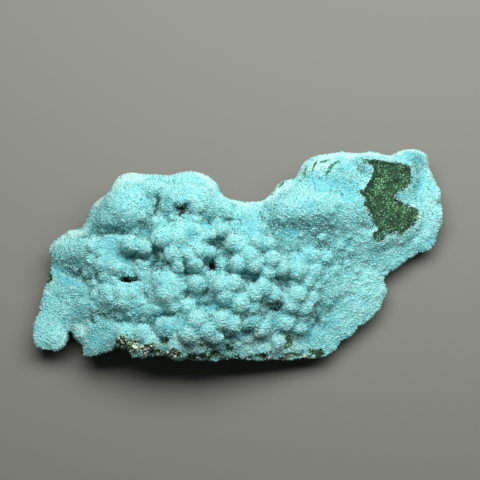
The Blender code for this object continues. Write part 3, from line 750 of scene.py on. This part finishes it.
def chrysocolla_tint(tree, share, noises, crust):
    """Cloudy blue-green with darker specks, with painted shade deeper in the hollows, waxy where it
    is bare, whitish along the back rim, there partly painted light, and painted nearly black as
    shade in the pits."""
    clouds, chips, grains = noises
    tint = mixed(tree, stepped(tree, clouds, 0.4, 0.7), tuple(crust.blue), tuple(crust.deep_blue))
    tint = mixed(tree, stepped(tree, grains, 0.36, 0.5), linear("#6FBABD"), tint)
    tint = mixed(tree, stepped(tree, share["hollow"], 0.0, 0.95), tint, tuple(crust.hollow))
    waxy = mixed(tree, stepped(tree, chips, 0.3, 0.7), tuple(crust.deep_waxy), tuple(crust.waxy))
    tint = mixed(tree, stepped(tree, share["bare"], 0.3, 0.8), tint, waxy)
    pale = mixed(tree, stepped(tree, grains, 0.35, 0.65), tuple(crust.pale), linear("#C3EBDC"))
    tint = mixed(tree, stepped(tree, share["pale"], 0.2, 1.0), tint, pale)
    # The pits are painted nearly black, as painted shade.
    return mixed(tree, stepped(tree, share["depth"], 1.1, 1.7), tint, linear("#15282C"))


def ground_tint(tree, grains):
    """Malachite between its needles: two dark greens."""
    return mixed(tree, stepped(tree, grains, 0.4, 0.6), linear("#12331F"), linear("#2D6A42"))


def rock_tint(tree, noises, crust):
    """Broken rock: dark brown in two tones with lighter grains."""
    clouds, _, grains = noises
    stone = mixed(tree, stepped(tree, clouds, 0.35, 0.6), tuple(crust.rock), linear("#2C2924"))
    return mixed(tree, stepped(tree, grains, 0.58, 0.7), stone, linear("#8F8779"))


def broken_tint(tree, chips):
    """The broken front: nearly black, green and whitish side by side."""
    side = mixed(tree, stepped(tree, chips, 0.38, 0.42), linear("#1B2B20"), linear("#2C6E45"))
    return mixed(tree, stepped(tree, chips, 0.45, 0.5), side, linear("#D3E8D8"))


def crust_material(crust):
    """Chrysocolla, grown as a round-knobbed crust over broken rock with malachite: matt under its
    quartz and a little waxy where it is bare."""
    material, tree, shader = new_material("chrysocolla_grown_crust")
    place = add_node(tree, "ShaderNodeTexCoord").outputs["Object"]
    share = {
        name: add_node(tree, "ShaderNodeAttribute", {"attribute_name": name}).outputs["Fac"]
        for name in ("bare", "hollow", "rock", "green", "pale", "depth", "broken")
    }
    noises = [noise_of(tree, place, scale) for scale in (CLOUDS, CHIPS, GRAINS)]
    _, chips, grains = noises
    tint = chrysocolla_tint(tree, share, noises, crust)
    for name, low, high, over in (
        ("green", 0.4, 0.6, ground_tint(tree, grains)),
        ("rock", 0.4, 0.6, rock_tint(tree, noises, crust)),
        ("broken", 0.45, 0.55, broken_tint(tree, chips)),
    ):
        tint = mixed(tree, stepped(tree, share[name], low, high), tint, over)
    tree.links.new(tint, shader.inputs["Base Color"])
    bump = add_node(
        tree, "ShaderNodeBump", None, {"Strength": 0.4, "Distance": 0.06 * MM}, {"Height": grains}
    )
    tree.links.new(bump.outputs["Normal"], shader.inputs["Normal"])
    gloss = add_node(
        tree, "ShaderNodeMapRange", None, {"To Min": 0.6, "To Max": 0.48}, {"Value": share["bare"]}
    )
    tree.links.new(gloss.outputs["Result"], shader.inputs["Roughness"])
    shader.inputs["IOR"].default_value = 1.5
    return material


def quartz_material(name, hex_code, see_through, roughness):
    """Quartz, grown as small points: glassy where light goes through, dull where it is frosted, and
    grey where the points are painted shade."""
    material, _, shader = new_material(name)
    shader.inputs["Base Color"].default_value = linear(hex_code)
    shader.inputs["Transmission Weight"].default_value = see_through
    shader.inputs["IOR"].default_value = 1.544
    shader.inputs["Roughness"].default_value = roughness
    return material


def malachite_material(name, tint, roughness):
    """Malachite, grown as upright silky needles: deep green with small soft glints. The dark and
    light tints given to it are painted shade and painted glints.
    """
    material, _, shader = new_material(name)
    shader.inputs["Base Color"].default_value = tuple(tint)
    shader.inputs["Roughness"].default_value = roughness
    shader.inputs["IOR"].default_value = 1.75
    return material


def chip_material(name, hex_code):
    """Matrix, broken into chips: chalky, with hardly any shine."""
    material, _, shader = new_material(name)
    shader.inputs["Base Color"].default_value = linear(hex_code)
    shader.inputs["Roughness"].default_value = 0.6
    return material


def table_material(stage):
    """Plain matt table board: even grey."""
    material, _, shader = new_material("matt_table_board")
    shader.inputs["Base Color"].default_value = tuple(stage.floor)
    shader.inputs["Roughness"].default_value = 0.75
    return material


# Operators, one for each piece or group of like pieces and one for the stage


class SPECIMEN_OT_crust(bpy.types.Operator):
    """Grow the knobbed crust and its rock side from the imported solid"""

    bl_idname = "specimen.crust"
    bl_label = "Crust"

    def execute(self, context):
        crust = context.scene.specimen_crust
        rng = np.random.default_rng(41)
        item = copy_of_node(CRUST)
        self.add_large_knobs(item)
        apply_modifier(item, "REMESH", mode="VOXEL", voxel_size=crust.facet)
        apply_modifier(item, "SMOOTH", factor=0.5, iterations=3)
        mesh = item.data
        triangles = triangles_of(mesh)
        points = points_of(mesh)
        even = spots_share(on_plan(points), EVEN_SPOTS, 0.5)[:, None]
        points = points + (evened(points, triangles, EVEN_TURNS) - points) * even
        move_points(mesh, points)
        normals = normals_of(mesh)
        shares = self.zones(points, normals)
        self.sculpt(mesh, points, normals, shares, crust, rng)
        shares["hollow"] = self.painted_shade_share(mesh, triangles, shares)
        for name, values in shares.items():
            write_share(mesh, name, values)
        mesh.polygons.foreach_set("use_smooth", np.ones(len(mesh.polygons), dtype=bool))
        finish_piece(item, crust_material(crust), stands_for_node=True)
        return {"FINISHED"}

    def add_large_knobs(self, item):
        """Join the large knobs, as finer balls, to the copy of the solid."""
        select_only(item)
        bpy.ops.object.mode_set(mode="EDIT")
        for x, y, radius, top in LARGE_KNOBS:
            raised = min(top + KNOB_RISE, HIGHEST_KNOB)
            bpy.ops.mesh.select_all(action="DESELECT")
            bpy.ops.mesh.primitive_ico_sphere_add(
                subdivisions=3, radius=radius * MM, location=in_frame(x, y, raised - radius),
                scale=(1, 1, height_left(x, y)),
            )
        bpy.ops.object.mode_set(mode="OBJECT")

    def zones(self, points, normals):
        """Where the surface is rock, bare, green and so on, as shares between 0 and 1."""
        place = on_plan(points)
        waver = wander(points, 5 * MM, 3)
        fine = wander(points, 1.2 * MM, 4)
        # The spots have ragged edges, because they are looked up at a slightly wandering place.
        ragged = place.copy()
        ragged[:, 0] += 0.5 * wander(points, 2.5 * MM, 5) + 0.3 * fine
        ragged[:, 1] += 0.5 * wander(points, 2.5 * MM, 7) + 0.3 * wander(points, 1.2 * MM, 10)
        upward = ramp(normals[:, 2], -0.2, 0.15)
        rock = self.rock_share(place[:, 2], normals[:, 2], waver, fine)
        broken = np.maximum(
            self.front_share(place, normals[:, 1], fine),
            spots_share(ragged, MATRIX_SPOTS, 0.3) * upward,
        )
        window = inside_outline(place, WINDOW_OUTLINE) & (place[:, 2] > 15) & (normals[:, 2] > 0.3)
        green = spots_share(ragged, GREEN_SPOTS, 0.3) * upward
        depth = spots_share(ragged, HOLLOWS, 0.6)
        return {
            "rock": rock * (1 - broken),
            "broken": broken * (1 - green),
            "bare": spots_share(ragged, BARE_SPOTS, 0.5) * upward * (1 - ramp(depth, 0.7, 1.2)),
            "depth": depth * upward,
            # Painted shade on the slopes turned away from the light and in the grooves.
            "dark": np.clip(spots_share(ragged, PAINTED_SHADE_SPOTS, 0.7) * (0.9 + 0.4 * fine), 0, 1),
            "green": np.clip(np.maximum(green, window), 0, 1),
            "pale": self.pale_share(place, ragged, window, waver, fine),
            "window": window.astype(float),
        }

    def rock_share(self, height, slope, waver, fine):
        """Rock under a wavering line about 8 mm up, and higher where the side overhangs."""
        rock = ramp(height + 1.2 * waver + 0.5 * fine, 9.0, 7.0)
        return np.maximum(rock, ramp(slope, -0.25, -0.55) * ramp(height, 12.5, 10.5))

    def front_share(self, place, slope, fine):
        """The broken front: up to its lip, and where the surface faces forwards."""
        lips = np.array(FRONT_LIPS)
        lip = np.interp(place[:, 0], lips[:, 0], lips[:, 1], left=0.0, right=0.0)
        side = ramp(lip - place[:, 2] + 0.8 * fine, -0.3, 0.3)
        side *= ramp(place[:, 1], FRONT_BACK_Y, FRONT_BACK_Y - 2)
        return side * ramp(slope, 0.1, -0.35)

    def pale_share(self, place, ragged, window, waver, fine):
        """Whitish crust, partly painted light: the listed spots, the rim along the back, painted as
        light from behind, and a thin border round the malachite."""
        spots = spots_share(ragged, PALE_SPOTS, 0.6) * (0.8 + 0.4 * fine)
        rim = ramp(run_distance(ragged, BACK_RUN) + 0.4 * fine, 2.6, 0.3)
        rim *= ramp(place[:, 2] + 3 * waver + fine, 10, 14)
        border = window_distance(place)
        border = 0.8 * ramp(border + 0.45 * fine, 0.6, 0.1) * (place[:, 2] > 17) * (1 - window)
        return np.clip(np.maximum.reduce([spots, rim, border]), 0, 1)

    def sculpt(self, mesh, points, normals, shares, crust, rng):
        """Sink the crust under its quartz, press in the hollows, grow two generations of knobs and
        break up the rock."""
        covered = (1 - shares["rock"]) * (1 - shares["window"]) * (1 - shares["broken"])
        upward = np.clip(normals[:, 2], 0.0, 1.0)
        place = on_plan(points)
        left = height_left(place[:, 0], place[:, 1])
        points = points.copy()
        points[:, 2] -= covered * upward * crust.skin
        points[:, 2] -= covered * shares["depth"] * left * MM
        calm = self.knobby_share(place) * (1 - 0.6 * shares["bare"])
        # Small knobs start under the quartz only, clear of bare places and of pits.
        grow = (covered > 0.5) & (shares["bare"] < 0.6) & (shares["depth"] < 0.8)
        lively = calm * (0.8 + 0.35 * wander(points, 9 * MM, 6)) * (1 - 0.75 * self.on_knobs(place))
        rise = grow_knobs(
            points, normals, grow, lively, crust.knob_spacing, crust.knob_radius,
            crust.knob_height, rng,
        )
        points = points + normals * (rise * covered * (0.35 + 0.65 * upward))[:, None]
        move_points(mesh, points)
        normals = normals_of(mesh)
        rise = grow_knobs(
            points, normals, grow, 0.7 + 0.3 * calm, crust.wart_spacing, crust.wart_radius,
            crust.wart_height, rng,
        )
        points = points + normals * (rise * covered)[:, None]
        points = points + normals * self.roughness(points, shares)[:, None]
        points[:, 2] = np.clip(points[:, 2], 0.0, CAD_BOX[1][2] + 0.1 * MM)
        move_points(mesh, points)

    def knobby_share(self, place):
        """Size of the small knobs: full in the middle field and half outside it."""
        across = (place[:, 0] - KNOBBY_MIDDLE[0]) / KNOBBY_REACH[0]
        along = (place[:, 1] - KNOBBY_MIDDLE[1]) / KNOBBY_REACH[1]
        return 0.5 + 0.5 * ramp(np.hypot(across, along), 1.2, 0.75)

    def on_knobs(self, place):
        """1 on the large knobs, which keep their round shape, so that the small ones stay beside
        them."""
        return np.maximum.reduce(
            [ramp(np.hypot(place[:, 0] - x, place[:, 1] - y), 1.15 * radius, 0.7 * radius)
             for x, y, radius, _ in LARGE_KNOBS]
        )

    def roughness(self, points, shares):
        """How far the rock and the broken front stand out or lie back, above the table."""
        rough = np.maximum(shares["rock"], shares["broken"]) * (points[:, 2] > 0.4 * MM)
        chips = 0.35 * wander(points, 1.8 * MM, 8) + 0.2 * wander(points, 0.8 * MM, 9)
        return rough * (chips - 0.4 * shares["broken"]) * MM

    def painted_shade_share(self, mesh, triangles, shares):
        """Painted shade: 1 where a place lies well under its surroundings or in a dark spot, -1 on
        top of a knob. It darkens the crust and its quartz in the hollows and lightens the quartz on
        the knob tops; whitish places stay light.
        """
        points = points_of(mesh)
        normals = normals_of(mesh)
        around = points
        hollow = np.zeros(len(points))
        for turns, weight, depth in SURROUNDINGS:
            around = evened(around, triangles, turns)
            hollow += weight * dots(around - points, normals) / (depth * MM)
        hollow += 0.5 * shares["dark"] - 0.6 * shares["pale"]
        return np.clip(hollow, -1.0, 1.0)


class SPECIMEN_OT_malachite(bpy.types.Operator):
    """Cover the bare window and the green spots with malachite needles"""

    bl_idname = "specimen.malachite"
    bl_label = "Malachite"

    # Piece, setting of its tint, and roughness. The dark and light tones are painted shade and
    # painted glints on the needles.
    TONES = (
        ("malachite_needles_dark", "dark", 0.65),
        ("malachite_needles_green", "green", 0.45),
        ("malachite_needles_light", "light", 0.35),
    )
    # A needle is dark under the first shade and light over the second.
    TONE_LIMITS = (0.47, 0.8)

    def execute(self, context):
        settings = context.scene.specimen_malachite
        rng = np.random.default_rng(52)
        surface = Surface(bpy.data.objects[CRUST].data)
        places, ups, _ = surface.scatter(self.cover(surface), settings.spacing, rng)
        # Darker in patches of 2 mm and along the border of the window.
        shade = rng.random(len(places)) + 0.3 * wander(places, 2.0 * MM, 14)
        shade -= 0.25 * ramp(window_distance(on_plan(places)), 1.4, 0.2)
        kind = np.digitize(shade, self.TONE_LIMITS)
        shape = crystal_shape(4)
        for number, (name, tint, roughness) in enumerate(self.TONES):
            chosen = kind == number
            count = int(chosen.sum())
            heights = settings.needle * rng.uniform(0.5, 1.3, count)
            widths = settings.needle * rng.uniform(0.45, 0.75, count)
            item = crystals(
                name, shape, places[chosen], ups[chosen], widths, heights, lean=0.55, sink=0.25,
                rng=rng,
            )
            material = malachite_material(name + "_silky", getattr(settings, tint), roughness)
            finish_piece(item, material)
        return {"FINISHED"}

    def cover(self, surface):
        """Dense on the green places, in specks of 1 mm on the broken front."""
        green = surface.share("green") * (1 - surface.share("rock"))
        specks = np.clip(0.5 + 0.9 * wander(surface.points, 1.0 * MM, 12), 0, 1)
        return np.maximum(ramp(green, 0.45, 0.6), surface.share("broken") * specks)


class SPECIMEN_OT_sprays(bpy.types.Operator):
    """Lay sprays of malachite needles in the pale back edge"""

    bl_idname = "specimen.sprays"
    bl_label = "Needle sprays"

    # How much height counts in finding the nearest point: little, as seen from straight above.
    HEIGHT_COUNTS = -0.02

    def execute(self, context):
        settings = context.scene.specimen_malachite
        rng = np.random.default_rng(74)
        surface = Surface(bpy.data.objects[CRUST].data)
        tree = tree_of(surface.points * (1.0, 1.0, self.HEIGHT_COUNTS))
        above = self.HEIGHT_COUNTS * (BACK_EDGE_HEIGHT + 1) * MM
        places = []
        ups = []
        for x, y, direction, length in SPRAYS:
            angle = math.radians(direction)
            run = np.array((math.cos(angle), math.sin(angle)))
            side = np.array((-run[1], run[0]))
            for _ in range(SPRAY_NEEDLES):
                spot = np.array((x, y)) + rng.uniform(-0.5, 0.5) * length * run
                spot = in_frame(*(spot + rng.uniform(-0.25, 0.25) * side), BACK_EDGE_HEIGHT)
                _, number, _ = tree.find((spot.x, spot.y, above))
                normal = surface.normals[number]
                lying = np.array((run[0], run[1], 0.0))
                lying -= normal * (lying @ normal)
                places.append(surface.points[number] + normal * 0.15 * MM)
                ups.append(lying / np.linalg.norm(lying) + normal * rng.uniform(0.05, 0.35))
        count = len(places)
        widths = rng.uniform(0.22, 0.34, count) * MM
        lengths = rng.uniform(1.0, 1.7, count) * MM
        item = crystals(
            "malachite_sprays", crystal_shape(5), np.array(places), np.array(ups), widths, lengths,
            lean=0.12, sink=0.3, rng=rng,
        )
        finish_piece(item, malachite_material("malachite_sprays_silky", settings.green, 0.35))
        return {"FINISHED"}


class SPECIMEN_OT_chips(bpy.types.Operator):
    """Stud the broken front with chips of pale matrix"""

    bl_idname = "specimen.chips"
    bl_label = "Matrix chips"

    # Distance between the places for chips in millimetres, and the share of the places that carry
    # a chip and of the chips that are white.
    SPACING = 0.8
    TAKEN = 0.4
    WHITE = 0.75

    def execute(self, context):
        rng = np.random.default_rng(85)
        surface = Surface(bpy.data.objects[CRUST].data)
        places, ups, _ = surface.scatter(surface.share("broken"), self.SPACING * MM, rng)
        kept = rng.random(len(places)) < self.TAKEN
        places, ups = places[kept], ups[kept]
        white = rng.random(len(places)) < self.WHITE
        shape = crystal_shape(5)
        for name, chosen, hex_code in (
            ("matrix_chips_white", white, "#F2F7EC"),
            ("matrix_chips_green", ~white, "#B9D2B4"),
        ):
            count = int(chosen.sum())
            widths = rng.uniform(0.5, 1.2, count) * MM
            heights = widths * rng.uniform(0.7, 1.1, count)
            item = crystals(
                name, shape, places[chosen], ups[chosen], widths, heights, lean=1.2, sink=0.4,
                rng=rng,
            )
            finish_piece(item, chip_material(name + "_broken", hex_code))
        return {"FINISHED"}


class SPECIMEN_OT_druse(bpy.types.Operator):
    """Grow quartz points over the crust"""

    bl_idname = "specimen.druse"
    bl_label = "Quartz druse"

    # Name, tint, share of light that goes through, roughness, and share of the points in the
    # open, in hollows and on the whitish edges. The last kind gets what the others leave.
    # The grey points are painted shade, mostly in the hollows; the frosted ones, mostly on the
    # whitish edges and the knob tops, are there partly painted light.
    KINDS = (
        ("clear", "#CFF3F2", 1.0, 0.06, 0.04, 0.14, 0.03),
        ("frosted", "#C6F6F1", 0.15, 0.45, 0.35, 0.20, 0.92),
        ("blue", "#8EE0E0", 0.10, 0.40, 0.60, 0.36, 0.06),
        ("grey", "#6C9799", 0.20, 0.25, 0.02, 0.30, 0.00),
    )
    # Where the quartz thins out: kind of place, the shares between which it does, and how much of
    # it is gone in the end.
    GAPS = (
        ("bare", 0.3, 0.9, 0.9),
        ("rock", 0.3, 0.6, 1.0),
        ("broken", 0.3, 0.6, 1.0),
        ("green", 0.3, 0.5, 1.0),
        ("depth", 1.3, 1.7, 1.0),
    )

    def execute(self, context):
        settings = context.scene.specimen_druse
        rng = np.random.default_rng(63)
        surface = Surface(bpy.data.objects[CRUST].data)
        extra = np.column_stack([surface.share("hollow"), surface.share("pale")])
        places, ups, extra = surface.scatter(self.cover(surface), settings.spacing, rng, extra)
        kinds = self.draw_kinds(extra[:, :1], extra[:, 1:], rng)
        shape = crystal_shape(6)
        for number, (name, hex_code, see_through, roughness, *_) in enumerate(self.KINDS):
            material = quartz_material(
                f"{name}_quartz_grown_points", hex_code, see_through, roughness
            )
            for side, half in (("left", places[:, 0] < 0), ("right", places[:, 0] >= 0)):
                chosen = (kinds == number) & half
                count = int(chosen.sum())
                # Six points in a hundred are larger by half the set size.
                size = rng.uniform(0.7, 1.2, count) + 0.5 * (rng.random(count) < 0.06)
                item = crystals(
                    f"quartz_druse_{name}_{side}", shape, places[chosen], ups[chosen],
                    settings.width * size, settings.height * size, lean=0.36, sink=0.3, rng=rng,
                )
                finish_piece(item, material)
        return {"FINISHED"}

    def cover(self, surface):
        """How much quartz each place carries, from 0 to 1."""
        cover = 1.0
        for name, low, high, gone in self.GAPS:
            cover = cover * (1 - gone * ramp(surface.share(name), low, high))
        return cover * (surface.points[:, 2] > LOWEST_QUARTZ * MM)

    def draw_kinds(self, hollow, pale, rng):
        """A kind for each point, drawn with the chances of its place."""
        # Painted shade: the deeper a place lies, the more of its points are grey.
        sunk = ramp(hollow, 0.0, 0.9)
        # The tops of the knobs carry more of the whitish points too, as painted light on the knob
        # tops.
        crowns = ramp(hollow, -0.2, -0.9)
        # Whitish places, partly painted light, carry mostly frosted points.
        pale = np.maximum(ramp(pale, 0.1, 0.9), 0.45 * crowns)
        in_open, in_hollows, on_edges = np.array([kind[4:] for kind in self.KINDS]).T
        chances = (in_open * (1 - sunk) + in_hollows * sunk) * (1 - pale) + on_edges * pale
        draw = rng.random(len(hollow))[:, None]
        return (draw > np.cumsum(chances, axis=1)).sum(axis=1)


class SPECIMEN_OT_stage(bpy.types.Operator):
    """Set the floor, the soft light and the camera"""

    bl_idname = "specimen.stage"
    bl_label = "Stage"

    # Sizes and places in metres.
    FLOOR_SIZE = 4.0
    LIGHT_PLACE = (0.06, 0.135, 0.27)
    LIGHT_LENGTH = 0.44
    LIGHT_WIDTH = 0.22
    CAMERA_DISTANCE = 0.45
    FRAME_WIDTH = 0.12
    # The camera's angle above the table in degrees, what it looks at on the plan, and its sensor,
    # both in millimetres.
    CAMERA_ANGLE = 75
    CAMERA_TARGET = (0, 3.9, 12)
    SENSOR_WIDTH = 36

    def execute(self, context):
        stage = context.scene.specimen_stage
        select_nothing()
        bpy.ops.mesh.primitive_plane_add(size=self.FLOOR_SIZE, location=(0, 0, 0))
        floor = bpy.context.object
        floor.name = "floor"
        floor.data.materials.append(table_material(stage))
        self.light(stage.key_watts)
        self.room(context, stage.room_light)
        self.camera(context)
        context.scene.view_settings.view_transform = "Standard"
        return {"FINISHED"}

    def light(self, watts):
        """A long soft light that hangs level and looks straight down."""
        bpy.ops.object.light_add(type="AREA", location=self.LIGHT_PLACE)
        lamp = bpy.context.object
        lamp.name = "soft_light"
        lamp.data.energy = watts
        lamp.data.shape = "RECTANGLE"
        lamp.data.size = self.LIGHT_LENGTH
        lamp.data.size_y = self.LIGHT_WIDTH

    def room(self, context, strength):
        """Weak even light from all round."""
        world = bpy.data.worlds.new("even_room_light")
        world.use_nodes = True
        context.scene.world = world
        background = world.node_tree.nodes["Background"]
        background.inputs["Color"].default_value = linear("#EEF2F5")
        background.inputs["Strength"].default_value = strength

    def camera(self, context):
        """Look down on the specimen along +Y."""
        pitch = math.radians(90 - self.CAMERA_ANGLE)
        look = Vector((0, math.sin(pitch), -math.cos(pitch)))
        place = in_frame(*self.CAMERA_TARGET) - look * self.CAMERA_DISTANCE
        bpy.ops.object.camera_add(location=place, rotation=(pitch, 0, 0))
        camera = bpy.context.object
        camera.name = "camera"
        camera.data.sensor_width = self.SENSOR_WIDTH
        camera.data.lens = self.SENSOR_WIDTH * self.CAMERA_DISTANCE / self.FRAME_WIDTH
        camera.data.clip_start = 0.01
        context.scene.camera = camera


class SPECIMEN_PT_panel(bpy.types.Panel):
    """Lists the pieces in the order in which they are made"""

    bl_label = "Specimen"
    bl_idname = "SPECIMEN_PT_panel"
    bl_space_type = "VIEW_3D"
    bl_region_type = "UI"
    bl_category = "Specimen"

    def draw(self, context):
        for key, group in SETTINGS.items():
            box = self.layout.box()
            for prop in group.__annotations__:
                box.prop(getattr(context.scene, key), prop)
        for operator in OPERATORS:
            self.layout.operator(operator.bl_idname)


OPERATORS = (
    SPECIMEN_OT_stage, SPECIMEN_OT_crust, SPECIMEN_OT_malachite, SPECIMEN_OT_sprays,
    SPECIMEN_OT_chips, SPECIMEN_OT_druse,
)
CLASSES = (*SETTINGS.values(), *OPERATORS, SPECIMEN_PT_panel)


def register():
    """Make the settings, operators and panel known."""
    for item in CLASSES:
        bpy.utils.register_class(item)
    for key, group in SETTINGS.items():
        setattr(bpy.types.Scene, key, bpy.props.PointerProperty(type=group))


def unregister():
    """Take them away again."""
    for key in SETTINGS:
        delattr(bpy.types.Scene, key)
    for item in reversed(CLASSES):
        bpy.utils.unregister_class(item)


def main():
    """Build the stage and the specimen."""
    register()
    bpy.ops.specimen.stage()
    bpy.ops.specimen.crust()
    bpy.ops.specimen.malachite()
    bpy.ops.specimen.sprays()
    bpy.ops.specimen.chips()
    bpy.ops.specimen.druse()


if __name__ == "__main__":
    main()
